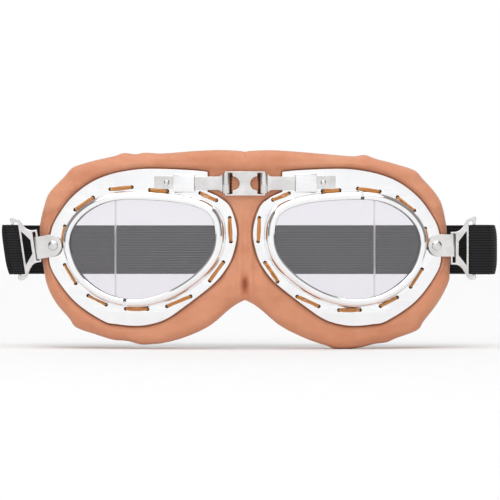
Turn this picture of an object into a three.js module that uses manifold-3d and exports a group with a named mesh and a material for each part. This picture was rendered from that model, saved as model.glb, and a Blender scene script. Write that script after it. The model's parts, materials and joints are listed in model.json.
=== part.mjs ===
// Motorcycle goggles: two chromed eyepieces that fold on a bridge plate, each laced to a padded leather
// mask, with a riveted side tab, a wire buckle and one half of the elastic head strap on each side.
//
// Millimetres. +X is to the right as seen from the front, +Y runs from the front to the back, +Z is up.
// The origin is the centre of the bridge plate's front face. Heights in the code are measured from the
// surface that the mask stands on, and the whole model is lowered at the end to bring the origin there.
//
// Each eyepiece is drawn in its own flat frame (outward from its hinge axis, depth behind that axis,
// height) and turned back by WRAP about the axis. The left side is the mirror image of the right.

import * as THREE from 'three';
import { mergeVertices } from 'three/addons/utils/BufferGeometryUtils.js';
import Module from 'manifold-3d';

const wasm = await Module();
wasm.setup();

// Clearance between pieces, how far a cutter runs past its piece, and the distance that welds corners.
const GAP = 0.3;
const PAST = 1;
const WELD = 1e-4;
const BRIDGE_HEIGHT = 82.5;
const WRAP = THREE.MathUtils.degToRad(12);
const LOOP_STEPS = 36;
const OUTLINE_STEPS = 52;

// Number of flats round each kind of round feature.
const FACETS = { lace: 6, rivet: 10, tabRivet: 12, turn: 14, roll: 16, sleeve: 18, window: 20, head: 96 };

const LINK = { halfWidth: 6.15, halfHeight: 6.05, thickness: 1.2, earHeight: 0.75, windowRadius: 3.45 };
const HINGE = { x: 9.4, y: LINK.thickness / 2, pinRadius: 0.6, sleeveInner: 0.95, sleeveOuter: 1.9 };
const ARM = {
  front: 0.1, back: 0.8, flare: 2.6, end: 36.6, bottom: 79.9, top: 86.4, neckBottom: 79.3, neckTop: 86,
};
const LOOP = { start: 16, end: 26.7, bottom: 78.1, top: 87.5, front: -1.1, sheet: 0.7 };
const FLANGE = { front: 1.0, back: 1.8, opening: 0.4 };
const BEZEL = { width: 4.2, front: -4.4, lip: 1.2, seat: 1.6, round: 1.2, roundSteps: 2, split: 0.6 };
const GASKET = { opening: 0.2 };
const LENS = { front: -2.9, thickness: 1.5, overlap: 1.2, crease: 55.6, creaseWidth: 0.7, creaseDepth: 0.4 };
const COVER = {
  front: 2.3, back: 3.8, inset: 1.5, opening: 2, noseEdge: -4, noseBottom: 38, noseTop: 73,
  reliefEdge: -0.6, reliefBottom: 75, reliefTop: 90.5,
};
const PAD = { front: 5.7, back: 26, opening: 3.5, lining: 1.2 };
const HEAD = { radius: 130, front: 12 };
const LACE = { radius: 0.5, hole: 0.8, front: 0.35, back: 4.6 };
const ARM_RIVET = { u: 30.4, height: 83.2, head: 1.3, shank: 0.7, dome: 0.8, domeStep: 0.6, domeNarrow: 0.7 };
const TAB_RIVET = {
  u: 88.7, height: 51.8, head: 2.5, shank: 1.2, shoulder: 2.0, tail: 1.9,
  dome: 1.3, domeStep: 1, domeNarrow: 0.6,
};
const TAB = {
  front: -1.0, sheet: 0.7, halfHeight: 5.6, roundFrom: 1.2, loopInner: 1.05, loopOuter: 1.75, reach: 8.1,
};
const BUCKLE = {
  thickness: 1.0, barHalf: 0.5, earHeight: 8.2, outerBar: 11.75, outerHalf: 0.7, shoulder: 0.1,
  slitEnd: 2.05, slitHalf: 7.3, slotStart: 8.9, slotEnd: 11.05, slotHalf: 13.7,
};
const GUSSET = { halfWidth: 2.5, front: 2.6, back: 4.1, bottom: 27, top: 97 };
const STRAP = {
  thickness: 1.5, halfWidth: 12.7, loopInner: 1.05, loopOuter: 2.35, lead: 1.2, lap: 10,
};
const ADJUSTER = { x: 4, halfLength: 6, halfHeight: 15.4, rail: 2.2, bar: 1.6, sheet: 1.2 };

// The left tab hangs tilted. Reach is the strap's outermost point, layer the depth of its run behind.
const SIDES = [
  {
    name: 'left', mirror: -1, tilt: 8.5, drop: -1, reach: 120.3, layer: 55.5, strapHeight: 49.7,
    splitU: 50.5, splitTop: false,
  },
  {
    name: 'right', mirror: 1, tilt: 0, drop: 1.4, reach: 128, layer: 50, strapHeight: 49.7,
    splitU: 48.9, splitTop: true,
  },
];

const CHROME = { color: 0xe9e9ec, roughness: 0.12, metalness: 1 };
const LEATHER = { color: 0xd88f6c, roughness: 0.62, metalness: 0 };
const FOAM = { color: 0x4a4542, roughness: 0.95, metalness: 0 };
const LINING = { color: 0xb07a5c, roughness: 0.9, metalness: 0 };
const CLEAR = { color: 0xe4e1e8, roughness: 0.05, metalness: 0 };
const RUBBER = { color: 0x2b2a2c, roughness: 0.8, metalness: 0 };
const THREAD = { color: 0xb8621f, roughness: 0.75, metalness: 0 };
const ELASTIC = { color: 0x17171a, roughness: 0.9, metalness: 0 };

// Outline of the lens opening, counter-clockwise from the temple: outward distance, height.
const LENS_POINTS = [
  [79.4, 54], [73.6, 65.8], [59.5, 73.5], [39.5, 74.3], [18.1, 71.8], [6.6, 65.4],
  [5.5, 50.8], [13.5, 39], [28.3, 29.2], [44.7, 25], [61, 28], [74.3, 38.5],
];

// Outer edge of the flange, from the corner above the arm round to the corner below it.
const FLANGE_POINTS = [
  [9.6, 88.3], [18.2, 89.2], [36.6, 90], [47.9, 89.5], [60.1, 87.2], [70.3, 83], [79.1, 76.4],
  [85.2, 69], [90, 60], [91.5, 47], [88.8, 37.5], [78, 23.7], [63.2, 14.4], [47.3, 11.6], [38.7, 13],
  [21.3, 20.7], [7, 32.4], [0.4, 40], [-3.3, 47.5], [-5.3, 58.5], [-2.1, 70.2], [3.1, 75.3], [9.6, 78.4],
];

// Outer edge of one half of the mask, counter-clockwise from the nose notch.
const MASK_POINTS = [
  [1.7, 19], [9.9, 12], [22.2, 6], [37, 0], [49.5, 0], [59, 3.4], [71.3, 8], [81.9, 13.4], [90.7, 25],
  [95.3, 38], [96.8, 52], [95.6, 66], [91.5, 77], [82, 87.8], [71.3, 92], [59, 95], [48.8, 96.2],
  [33.4, 97.4], [19.1, 98.2], [4.8, 99], [-1.6, 96], [-2.4, 87], [-2.4, 60], [-2.4, 32], [-1.6, 23.5],
];

// Hand-punched holes of each running stitch, in the lace's own order: outward distance, height.
const STITCHES = {
  left: [
    [59.6, 79.9], [48.5, 80.9], [39.1, 79.5], [30.2, 78.9], [13.4, 77.8], [5.2, 74.2],
    [-1.6, 65.4], [-2.2, 53.7], [1.6, 43.4], [8.5, 34.2], [18.3, 26.4], [30.4, 21.4],
    [40.4, 20], [51.6, 20.1], [61.8, 22.1], [71, 26.6], [77.5, 32.8], [83.2, 42],
    [85.1, 51.9], [83.2, 61.4], [77.8, 69.7], [68.5, 75.8],
  ],
  right: [
    [59.6, 78.8], [48.3, 80.2], [38.9, 79.4], [30.2, 78.9], [13, 77.7], [4.9, 74.4],
    [-2.1, 65.4], [-2.7, 53.8], [0.8, 43.2], [7.2, 33.8], [17.2, 26.3], [28.2, 21.4],
    [38.6, 19.5], [49.4, 19.5], [60, 21.4], [68.6, 25.7], [75.6, 31], [81.5, 39.8],
    [85, 50.6], [83.2, 60.3], [77.5, 69.3], [68.8, 76],
  ],
};

// Upper edge of the buckle between its outer bar and its inner one, and its middle window: outward, height.
const BUCKLE_EDGE = [[13, 14.4], [11.9, 15.7], [9.9, 15.8], [8.3, 14.8], [6.6, 11.8], [4.6, 9.2]];
const BUCKLE_NECK = 2.6;
const BUCKLE_WINDOW = [[3.7, -3.4], [7.8, -8.2], [7.8, 8.2], [3.7, 3.4]];

// ---------------------------------------------------------------- solids

function toSolid(geometry) {
  geometry.deleteAttribute('normal');
  geometry.deleteAttribute('uv');
  const welded = mergeVertices(geometry, WELD);
  return new wasm.Manifold(new wasm.Mesh({
    numProp: 3,
    vertProperties: new Float32Array(welded.attributes.position.array),
    triVerts: new Uint32Array(welded.index.array),
  }));
}

function toGeometry(solid) {
  const mesh = solid.getMesh();
  const geometry = new THREE.BufferGeometry();
  geometry.setAttribute('position', new THREE.BufferAttribute(mesh.vertProperties, 3));
  geometry.setIndex(new THREE.BufferAttribute(mesh.triVerts, 1));
  geometry.computeVertexNormals();
  return geometry;
}

function part(name, geometry, finish) {
  const mesh = new THREE.Mesh(geometry, new THREE.MeshStandardMaterial(finish));
  mesh.name = name;
  return mesh;
}

// ---------------------------------------------------------------- outlines and plates

function closedCurve(points) {
  return new THREE.CatmullRomCurve3(points.map(([u, z]) => new THREE.Vector3(u, z, 0)), true);
}

// Points along a counter-clockwise closed curve, moved outward by offset.
function offsetLoop(curve, offset, steps) {
  const loop = [];
  for (let i = 0; i < steps; i += 1) {
    const at = curve.getPointAt(i / steps);
    const along = curve.getTangentAt(i / steps);
    loop.push(new THREE.Vector2(at.x + offset * along.y, at.y - offset * along.x));
  }
  return loop;
}

const lensCurve = closedCurve(LENS_POINTS);
const maskCurve = closedCurve(MASK_POINTS);

function lensLoop(offset) {
  return offsetLoop(lensCurve, offset, LOOP_STEPS);
}

function circle(u, z, radius, sides) {
  const points = [];
  for (let i = 0; i < sides; i += 1) {
    const angle = (i / sides) * 2 * Math.PI;
    points.push(new THREE.Vector2(u + radius * Math.cos(angle), z + radius * Math.sin(angle)));
  }
  return points;
}

function shapeOf(outline, holes = []) {
  const shape = new THREE.Shape(outline);
  shape.holes = holes.map((points) => new THREE.Path(points));
  return shape;
}

// A plate parallel to the eyepiece: the shape lies in (outward, height), between two depths.
function plate(shape, front, back) {
  const geometry = new THREE.ExtrudeGeometry(shape, { depth: back - front, bevelEnabled: false });
  return geometry.translate(0, 0, -back).rotateX(Math.PI / 2);
}

// The same with its edges rounded inside the given outline.
function roundedPlate(shape, front, back, round, segments) {
  const geometry = new THREE.ExtrudeGeometry(shape, {
    depth: back - front - 2 * round,
    bevelThickness: round,
    bevelSize: round,
    bevelOffset: -round,
    bevelSegments: segments,
  });
  return geometry.translate(0, 0, round - back).rotateX(Math.PI / 2);
}

// A column along Z over a shape in plan.
function column(shape, bottom, top) {
  const geometry = new THREE.ExtrudeGeometry(shape, { depth: top - bottom, bevelEnabled: false });
  return geometry.translate(0, 0, bottom);
}

function block(u0, u1, v0, v1, z0, z1) {
  const geometry = new THREE.BoxGeometry(u1 - u0, v1 - v0, z1 - z0);
  return geometry.translate((u0 + u1) / 2, (v0 + v1) / 2, (z0 + z1) / 2);
}

// A turned piece on a front-to-back axis: the profile is [radius, depth] from the axis back to it.
function turned(profile, u, height, sides) {
  const points = profile.map(([radius, depth]) => new THREE.Vector2(radius, depth));
  return new THREE.LatheGeometry(points, sides).translate(u, 0, height);
}

// ---------------------------------------------------------------- bridge

// H-shaped plate: two half-round windows, and four ears that carry the hinge pins.
function linkPlate() {
  const { halfWidth, halfHeight, thickness, earHeight, windowRadius } = LINK;
  const outline = [
    [-HINGE.x - HINGE.pinRadius, -halfHeight], [HINGE.x + HINGE.pinRadius, -halfHeight],
    [HINGE.x + HINGE.pinRadius, halfHeight], [-HINGE.x - HINGE.pinRadius, halfHeight],
  ].map(([x, z]) => new THREE.Vector2(x, z + BRIDGE_HEIGHT));
  let solid = toSolid(plate(shapeOf(outline), 0, thickness));
  for (const side of [-1, 1]) {
    const inner = side * halfWidth;
    const outer = side * (HINGE.x - HINGE.pinRadius);
    const pinGap = block(
      Math.min(inner, outer), Math.max(inner, outer), -thickness, 2 * thickness,
      BRIDGE_HEIGHT - halfHeight + earHeight, BRIDGE_HEIGHT + halfHeight - earHeight,
    );
    const round = shapeOf(circle(inner, BRIDGE_HEIGHT, windowRadius, FACETS.window));
    const window = plate(round, -thickness, 2 * thickness);
    solid = solid.subtract(toSolid(pinGap)).subtract(toSolid(window));
  }
  return part('link_plate', toGeometry(solid), CHROME);
}

// Leather strip that joins the two halves of the mask behind the bridge plate.
function noseGusset() {
  const { halfWidth, front, back, bottom, top } = GUSSET;
  return part('nose_gusset', block(-halfWidth, halfWidth, front, back, bottom, top), LEATHER);
}

// ---------------------------------------------------------------- eyepiece

// Flat chromed flange with the lace holes, and the raised loop that the bridge arm passes under.
function flange(prefix) {
  const edge = new THREE.SplineCurve(FLANGE_POINTS.map(([u, z]) => new THREE.Vector2(u, z)));
  const holes = [
    lensLoop(FLANGE.opening),
    circle(ARM_RIVET.u, ARM_RIVET.height, ARM_RIVET.shank + GAP, FACETS.lace),
    circle(TAB_RIVET.u, TAB_RIVET.height, TAB_RIVET.shank + GAP, FACETS.rivet),
    ...STITCHES[prefix].map(([u, z]) => circle(u, z, LACE.hole, FACETS.lace)),
  ];
  const sheet = plate(shapeOf(edge.getSpacedPoints(OUTLINE_STEPS), holes), FLANGE.front, FLANGE.back);
  const arch = block(LOOP.start, LOOP.end, LOOP.front, FLANGE.back, LOOP.bottom, LOOP.top);
  const under = block(
    LOOP.start - PAST, LOOP.end + PAST, LOOP.front + LOOP.sheet, FLANGE.front,
    LOOP.bottom + LOOP.sheet, LOOP.top - LOOP.sheet,
  );
  const solid = toSolid(sheet).add(toSolid(arch).subtract(toSolid(under)));
  return part(`${prefix}_flange`, toGeometry(solid), CHROME);
}

// Raised split ring that holds the lens: a rounded ring, rebated from behind.
function bezel(prefix, side) {
  const ring = roundedPlate(
    shapeOf(lensLoop(BEZEL.width), [lensLoop(0)]), BEZEL.front, FLANGE.front - GAP, BEZEL.round,
    BEZEL.roundSteps,
  );
  const rebate = plate(shapeOf(lensLoop(BEZEL.seat)), BEZEL.front + BEZEL.lip, FLANGE.front);
  const middle = lensCurve.getPointAt(0.5).y;
  const split = block(
    side.splitU, side.splitU + BEZEL.split, BEZEL.front - PAST, FLANGE.front,
    side.splitTop ? middle : 0, side.splitTop ? BRIDGE_HEIGHT : middle,
  );
  const solid = toSolid(ring).subtract(toSolid(rebate)).subtract(toSolid(split));
  return part(`${prefix}_bezel`, toGeometry(solid), CHROME);
}

// Clear lens with the shallow upright crease between its front and side panes.
function lens(prefix) {
  const back = LENS.front + LENS.thickness;
  const pane = plate(shapeOf(lensLoop(LENS.overlap)), LENS.front, back);
  const crease = block(
    LENS.crease, LENS.crease + LENS.creaseWidth, LENS.front - PAST, LENS.front + LENS.creaseDepth,
    0, BRIDGE_HEIGHT,
  );
  return part(`${prefix}_lens`, toGeometry(toSolid(pane).subtract(toSolid(crease))), CLEAR);
}

function gasket(prefix) {
  const front = LENS.front + LENS.thickness + GAP;
  const shape = shapeOf(lensLoop(LENS.overlap), [lensLoop(GASKET.opening)]);
  return part(`${prefix}_lens_gasket`, plate(shape, front, FLANGE.front - GAP), RUBBER);
}

// Bridge arm: a sheet rolled round the hinge pin, with a tongue riveted to the flange past the loop.
function bridgeArm(prefix) {
  const top = BRIDGE_HEIGHT + LINK.halfHeight - LINK.earHeight - GAP;
  const bottom = BRIDGE_HEIGHT - LINK.halfHeight + LINK.earHeight + GAP;
  const outline = [
    [HINGE.sleeveInner + GAP, bottom], [HINGE.sleeveOuter, bottom], [ARM.flare, ARM.neckBottom],
    [LOOP.start, ARM.neckBottom], [LOOP.end, ARM.bottom], [ARM.end, ARM.bottom], [ARM.end, ARM.top],
    [LOOP.end, ARM.top], [LOOP.start, ARM.neckTop], [ARM.flare, ARM.neckTop],
    [HINGE.sleeveOuter, top], [HINGE.sleeveInner + GAP, top],
  ].map(([u, z]) => new THREE.Vector2(u, z));
  const rivetHole = circle(ARM_RIVET.u, ARM_RIVET.height, ARM_RIVET.shank + GAP, FACETS.lace);
  const sheet = plate(shapeOf(outline, [rivetHole]), ARM.front, ARM.back);
  const sleeveRing = shapeOf(
    circle(0, 0, HINGE.sleeveOuter, FACETS.sleeve), [circle(0, 0, HINGE.sleeveInner, FACETS.sleeve)],
  );
  const sleeve = column(sleeveRing, bottom, top);
  return part(`${prefix}_bridge_arm`, toGeometry(toSolid(sheet).add(toSolid(sleeve))), CHROME);
}

function armRivet(prefix) {
  const { u, height, head, shank, dome, domeStep, domeNarrow } = ARM_RIVET;
  const seat = ARM.front - GAP;
  const end = FLANGE.back + GAP;
  const profile = [
    [0, seat - dome], [head * domeNarrow, seat - domeStep], [head, seat],
    [shank, seat], [shank, end], [0, end],
  ];
  return part(`${prefix}_arm_rivet`, turned(profile, u, height, FACETS.rivet), CHROME);
}

// Domed rivet that the side tab swivels on; its shoulder keeps the tab clear of the lace.
function tabRivet(prefix) {
  const { u, height, head, shank, shoulder, tail, dome, domeStep, domeNarrow } = TAB_RIVET;
  const seat = TAB.front - GAP;
  const step = TAB.front + TAB.sheet + GAP;
  const sheet = FLANGE.front - GAP;
  const profile = [
    [0, seat - dome], [head * domeNarrow, seat - domeStep], [head, seat], [shank, seat], [shank, step],
    [shoulder, step], [shoulder, sheet], [shank, sheet], [shank, FLANGE.back + GAP],
    [tail, FLANGE.back + GAP], [tail, COVER.back], [0, COVER.back],
  ];
  return part(`${prefix}_tab_rivet`, turned(profile, u, height, FACETS.tabRivet), CHROME);
}

// A route of straight runs, stepped from corner to corner.
class CordRoute extends THREE.Curve {
  constructor(corners) {
    super();
    this.corners = corners;
  }

  indexAt(t) {
    return Math.round(t * (this.corners.length - 1));
  }

  getPointAt(t) {
    return this.corners[this.indexAt(t)].clone();
  }

  getTangentAt(t) {
    const index = this.indexAt(t);
    const here = this.corners[index];
    const before = this.corners[Math.max(index - 1, 0)];
    const after = this.corners[Math.min(index + 1, this.corners.length - 1)];
    const arriving = new THREE.Vector3().subVectors(here, before).normalize();
    const leaving = new THREE.Vector3().subVectors(after, here).normalize();
    return arriving.add(leaving).normalize();
  }
}

// Running stitch right round the flange: over the front between two holes, then along behind the cover.
function lacing(prefix) {
  const corners = [];
  STITCHES[prefix].forEach(([u, z], index) => {
    const front = new THREE.Vector3(u, LACE.front, z);
    const back = new THREE.Vector3(u, LACE.back, z);
    corners.push(...(index % 2 === 0 ? [back, front] : [front, back]));
  });
  const section = shapeOf(circle(0, 0, LACE.radius, FACETS.lace));
  const route = new CordRoute(corners);
  const geometry = new THREE.ExtrudeGeometry(section, { steps: corners.length - 1, extrudePath: route });
  return part(`${prefix}_lacing`, geometry, THREAD);
}

// ---------------------------------------------------------------- mask

function headSolid(radius) {
  const centre = new THREE.Vector2(-HINGE.x, HEAD.front + HEAD.radius - HINGE.y);
  centre.rotateAround(new THREE.Vector2(), -WRAP);
  const drum = new THREE.CylinderGeometry(radius, radius, 3 * BRIDGE_HEIGHT, FACETS.head);
  drum.rotateX(Math.PI / 2).translate(centre.x, centre.y, BRIDGE_HEIGHT / 2);
  return toSolid(drum);
}

function maskRing(front, back) {
  const ring = plate(
    shapeOf(offsetLoop(maskCurve, 0, OUTLINE_STEPS), [lensLoop(PAD.opening)]), front, back,
  );
  const ground = block(-BRIDGE_HEIGHT, 2 * BRIDGE_HEIGHT, 0, BRIDGE_HEIGHT, -BRIDGE_HEIGHT, 0);
  return toSolid(ring).subtract(toSolid(ground));
}

// Leather cover under the flange, pierced for the lace and both rivets, cut back behind the hinge.
function maskCover(prefix) {
  const { front, back, inset, opening, noseEdge, noseBottom, noseTop } = COVER;
  const { reliefEdge, reliefBottom, reliefTop } = COVER;
  const outline = offsetLoop(maskCurve, -inset, OUTLINE_STEPS);
  const nose = toSolid(block(noseEdge, inset, front, back, noseBottom, noseTop));
  let solid = toSolid(plate(shapeOf(outline), front, back)).add(nose);
  const holes = [
    lensLoop(opening),
    circle(TAB_RIVET.u, TAB_RIVET.height, TAB_RIVET.tail + GAP, FACETS.rivet),
    ...STITCHES[prefix].map(([u, z]) => circle(u, z, LACE.hole, FACETS.lace)),
  ];
  for (const hole of holes) {
    solid = solid.subtract(toSolid(plate(shapeOf(hole), front - PAST, back + PAST)));
  }
  const hingeRelief = block(-2 * HINGE.x, reliefEdge, 0, 2 * back, reliefBottom, reliefTop);
  return part(`${prefix}_mask_cover`, toGeometry(solid.subtract(toSolid(hingeRelief))), LEATHER);
}

function foamPad(prefix) {
  const solid = maskRing(PAD.front, PAD.back).subtract(headSolid(HEAD.radius + PAD.lining + GAP));
  return part(`${prefix}_foam_pad`, toGeometry(solid), FOAM);
}

function faceLining(prefix) {
  const band = maskRing(PAD.front, PAD.back).intersect(headSolid(HEAD.radius + PAD.lining));
  return part(`${prefix}_face_lining`, toGeometry(band.subtract(headSolid(HEAD.radius))), LINING);
}

// ---------------------------------------------------------------- side tab and buckle

const LOOP_DEPTH = TAB.front + TAB.loopOuter;

// Riveted ear, rolled at its outer end round the buckle's inner bar. Drawn from the rivet outward.
function sideTab(prefix) {
  const { front, sheet, halfHeight, roundFrom, reach, loopInner, loopOuter } = TAB;
  const shape = new THREE.Shape();
  shape.moveTo(reach, -halfHeight);
  shape.lineTo(reach, halfHeight);
  shape.lineTo(roundFrom, halfHeight);
  shape.absarc(roundFrom, 0, halfHeight, Math.PI / 2, 1.5 * Math.PI, false);
  shape.holes = [new THREE.Path(circle(0, 0, TAB_RIVET.shank + GAP, FACETS.rivet))];
  const ear = new THREE.ExtrudeGeometry(
    shape, { depth: sheet, bevelEnabled: false, curveSegments: FACETS.rivet },
  );
  ear.translate(0, 0, -front - sheet).rotateX(Math.PI / 2);
  const ring = shapeOf(circle(0, 0, loopOuter, FACETS.roll), [circle(0, 0, loopInner, FACETS.roll)]);
  const roll = column(ring, -halfHeight, halfHeight).translate(reach, LOOP_DEPTH, 0);
  return part(`${prefix}_side_tab`, toGeometry(toSolid(ear).add(toSolid(roll))), CHROME);
}

// Wire-edged buckle, drawn from its inner bar outward; its outer bar takes the strap.
function buckle(prefix) {
  const { thickness, barHalf, earHeight, outerBar, outerHalf, shoulder } = BUCKLE;
  const { slitEnd, slitHalf, slotStart, slotEnd, slotHalf } = BUCKLE;
  const upper = [
    [outerBar + outerHalf, slotHalf + shoulder], ...BUCKLE_EDGE,
    [BUCKLE_NECK, earHeight], [-barHalf, earHeight],
  ];
  const lower = upper.map(([p, z]) => [p, -z]).reverse();
  const outline = [...upper, ...lower].map(([p, z]) => new THREE.Vector2(p, z));
  const tabSlit = [[barHalf, -slitHalf], [slitEnd, -slitHalf], [slitEnd, slitHalf], [barHalf, slitHalf]];
  const strapSlot = [
    [slotStart, -slotHalf], [slotEnd, -slotHalf], [slotEnd, slotHalf], [slotStart, slotHalf],
  ];
  const loops = [tabSlit, BUCKLE_WINDOW, strapSlot];
  const holes = loops.map((loop) => loop.map(([p, z]) => new THREE.Vector2(p, z)));
  const geometry = plate(shapeOf(outline, holes), -thickness / 2, thickness / 2);
  return part(`${prefix}_buckle`, geometry, CHROME);
}

// ---------------------------------------------------------------- strap

// Outer bar of the buckle in plan, at a height above the ground, and its lean per millimetre of height.
function outerBarAt(side, height) {
  const tilt = THREE.MathUtils.degToRad(side.tilt);
  const distance = TAB.reach + BUCKLE.outerBar;
  const rise = height - TAB_RIVET.height + distance * Math.sin(tilt);
  const u = TAB_RIVET.u + distance * Math.cos(tilt) + rise * Math.tan(tilt);
  const at = new THREE.Vector2(u, LOOP_DEPTH).rotateAround(new THREE.Vector2(), WRAP);
  return at.add(new THREE.Vector2(HINGE.x, HINGE.y));
}

// One half of the head strap: a loop sewn round the buckle's outer bar, a turn, and a run behind the mask.
function strapHalf(prefix, side) {
  const { thickness, halfWidth, loopInner, loopOuter, lead, lap } = STRAP;
  const bottom = side.strapHeight - halfWidth;
  const top = side.strapHeight + halfWidth;
  const bar = outerBarAt(side, side.strapHeight);
  const front = bar.y - loopOuter + thickness / 2;
  const depth = (side.layer - front) / 2;
  const turnX = bar.x + lead;
  const swell = side.reach - thickness / 2 - turnX;
  const outer = [new THREE.Vector2(bar.x, front - thickness / 2)];
  const inner = [new THREE.Vector2(bar.x, front + thickness / 2)];
  for (let i = 0; i <= FACETS.turn; i += 1) {
    const angle = (i / FACETS.turn - 0.5) * Math.PI;
    const at = new THREE.Vector2(turnX + swell * Math.cos(angle), front + depth + depth * Math.sin(angle));
    const normal = new THREE.Vector2(Math.cos(angle) * depth, Math.sin(angle) * swell).normalize();
    outer.push(at.clone().addScaledVector(normal, thickness / 2));
    inner.unshift(at.clone().addScaledVector(normal, -thickness / 2));
  }
  outer.push(new THREE.Vector2(-lap, side.layer + thickness / 2));
  inner.unshift(new THREE.Vector2(-lap, side.layer - thickness / 2));
  const band = column(shapeOf([...outer, ...inner]), bottom, top);
  const ring = shapeOf(
    circle(bar.x, bar.y, loopOuter, FACETS.roll), [circle(bar.x, bar.y, loopInner, FACETS.roll)],
  );
  const loop = column(ring, bottom, top);
  const geometry = toGeometry(toSolid(band).add(toSolid(loop)));
  leanWithBar(geometry, side, bar);
  return part(`${prefix}_strap`, geometry, ELASTIC);
}

// Tilts the strap near the bar so that its loop follows a leaning buckle; the run behind stays upright.
function leanWithBar(geometry, side, bar) {
  const lean = outerBarAt(side, side.strapHeight + 1).sub(bar);
  const position = geometry.attributes.position;
  const fadeStart = bar.y + STRAP.loopOuter;
  for (let i = 0; i < position.count; i += 1) {
    const past = (position.getY(i) - fadeStart) / (side.layer - STRAP.thickness - fadeStart);
    const share = 1 - THREE.MathUtils.clamp(past, 0, 1);
    const rise = position.getZ(i) - side.strapHeight;
    position.setX(i, position.getX(i) + lean.x * rise * share);
    position.setY(i, position.getY(i) + lean.y * rise * share);
  }
}

// Slider that sets the strap's length: a frame round the left half, with a bar behind the elastic.
function strapAdjuster(side) {
  const { x, halfLength, halfHeight, rail, bar, sheet } = ADJUSTER;
  const slide = STRAP.thickness / 2 + GAP;
  const bottom = side.strapHeight - halfHeight;
  const top = side.strapHeight + halfHeight;
  const frame = block(
    x - halfLength, x + halfLength, side.layer - slide - sheet, side.layer + slide + sheet, bottom, top,
  );
  const passage = block(
    x - 2 * halfLength, x + 2 * halfLength, side.layer - slide, side.layer + slide,
    bottom + rail, top - rail,
  );
  let solid = toSolid(frame).subtract(toSolid(passage));
  for (const [from, to] of [[rail - halfLength, -bar / 2], [bar / 2, halfLength - rail]]) {
    solid = solid.subtract(toSolid(block(
      x + from, x + to, side.layer - STRAP.thickness - slide, side.layer + STRAP.thickness + slide,
      bottom + rail, top - rail,
    )));
  }
  return part('strap_adjuster', toGeometry(solid), RUBBER);
}

// ---------------------------------------------------------------- assembly

function eyepiece(prefix, side) {
  const group = new THREE.Group();
  group.position.set(HINGE.x, HINGE.y, 0);
  group.rotation.z = WRAP;
  group.add(flange(prefix), bezel(prefix, side), lens(prefix), gasket(prefix), bridgeArm(prefix));
  group.add(armRivet(prefix), tabRivet(prefix), lacing(prefix));
  group.add(maskCover(prefix), foamPad(prefix), faceLining(prefix));

  const swivel = new THREE.Group();
  swivel.position.set(TAB_RIVET.u, 0, TAB_RIVET.height);
  swivel.rotation.y = THREE.MathUtils.degToRad(side.tilt);
  const hanger = buckle(prefix);
  hanger.position.set(TAB.reach, LOOP_DEPTH, -side.drop);
  swivel.add(sideTab(prefix), hanger);
  group.add(swivel);
  return group;
}

const goggles = new THREE.Group();
goggles.position.z = -BRIDGE_HEIGHT;
goggles.add(linkPlate(), noseGusset());
for (const side of SIDES) {
  const half = new THREE.Group();
  half.scale.x = side.mirror;
  half.add(eyepiece(side.name, side), strapHalf(side.name, side));
  if (side.name === 'left') {
    half.add(strapAdjuster(side));
  }
  goggles.add(half);
}

export default goggles;
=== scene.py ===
"""Motorcycle goggles: the visible pieces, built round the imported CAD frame.

Metres in Blender, with the origin at the centre of the bridge plate's front face. Sizes in the code are
millimetres with heights above the surface that the mask stands on; place() and at() convert them.
"""
import json
import math

import bmesh
import bpy
import numpy as np
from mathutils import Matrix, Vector, noise


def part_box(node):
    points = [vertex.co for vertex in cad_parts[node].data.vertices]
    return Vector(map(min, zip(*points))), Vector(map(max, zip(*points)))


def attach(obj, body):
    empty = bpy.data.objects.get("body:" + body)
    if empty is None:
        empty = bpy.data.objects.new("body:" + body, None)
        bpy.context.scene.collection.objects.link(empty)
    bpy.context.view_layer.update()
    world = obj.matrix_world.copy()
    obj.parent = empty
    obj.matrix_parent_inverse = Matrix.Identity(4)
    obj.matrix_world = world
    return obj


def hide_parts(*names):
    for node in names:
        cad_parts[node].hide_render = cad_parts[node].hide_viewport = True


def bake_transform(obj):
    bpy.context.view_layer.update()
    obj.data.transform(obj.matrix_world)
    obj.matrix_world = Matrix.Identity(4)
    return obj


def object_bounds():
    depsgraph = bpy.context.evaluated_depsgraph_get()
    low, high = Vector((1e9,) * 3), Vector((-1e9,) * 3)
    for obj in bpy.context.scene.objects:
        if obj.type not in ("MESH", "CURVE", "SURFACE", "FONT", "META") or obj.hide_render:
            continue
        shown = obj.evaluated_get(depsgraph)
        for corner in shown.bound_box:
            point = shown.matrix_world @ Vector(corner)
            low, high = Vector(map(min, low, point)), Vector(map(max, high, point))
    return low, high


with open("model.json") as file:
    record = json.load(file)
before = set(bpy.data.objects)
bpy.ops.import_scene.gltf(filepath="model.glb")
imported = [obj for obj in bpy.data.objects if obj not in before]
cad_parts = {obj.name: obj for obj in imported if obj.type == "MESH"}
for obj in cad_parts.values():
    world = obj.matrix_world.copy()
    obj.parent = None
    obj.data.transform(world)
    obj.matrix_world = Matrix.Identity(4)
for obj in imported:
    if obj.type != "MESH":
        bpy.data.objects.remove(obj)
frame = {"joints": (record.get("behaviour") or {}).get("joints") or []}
cad_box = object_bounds()

MM = 0.001
JOINTS = {joint["name"]: joint for joint in frame["joints"]}
HINGE = Vector(JOINTS["bridge_hinge_right"]["pos_m"]) / MM
RIVET = Vector(JOINTS["tab_swivel_right"]["pos_m"]) / MM
GROUND = -cad_box[0][2] / MM
WRAP = math.radians(12)
COS, SIN = math.cos(WRAP), math.sin(WRAP)
TILT = {"left": math.radians(8.5), "right": 0.0}
DROP = {"left": -1.0, "right": 1.4}
SIDES = {"left": -1, "right": 1}

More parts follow.
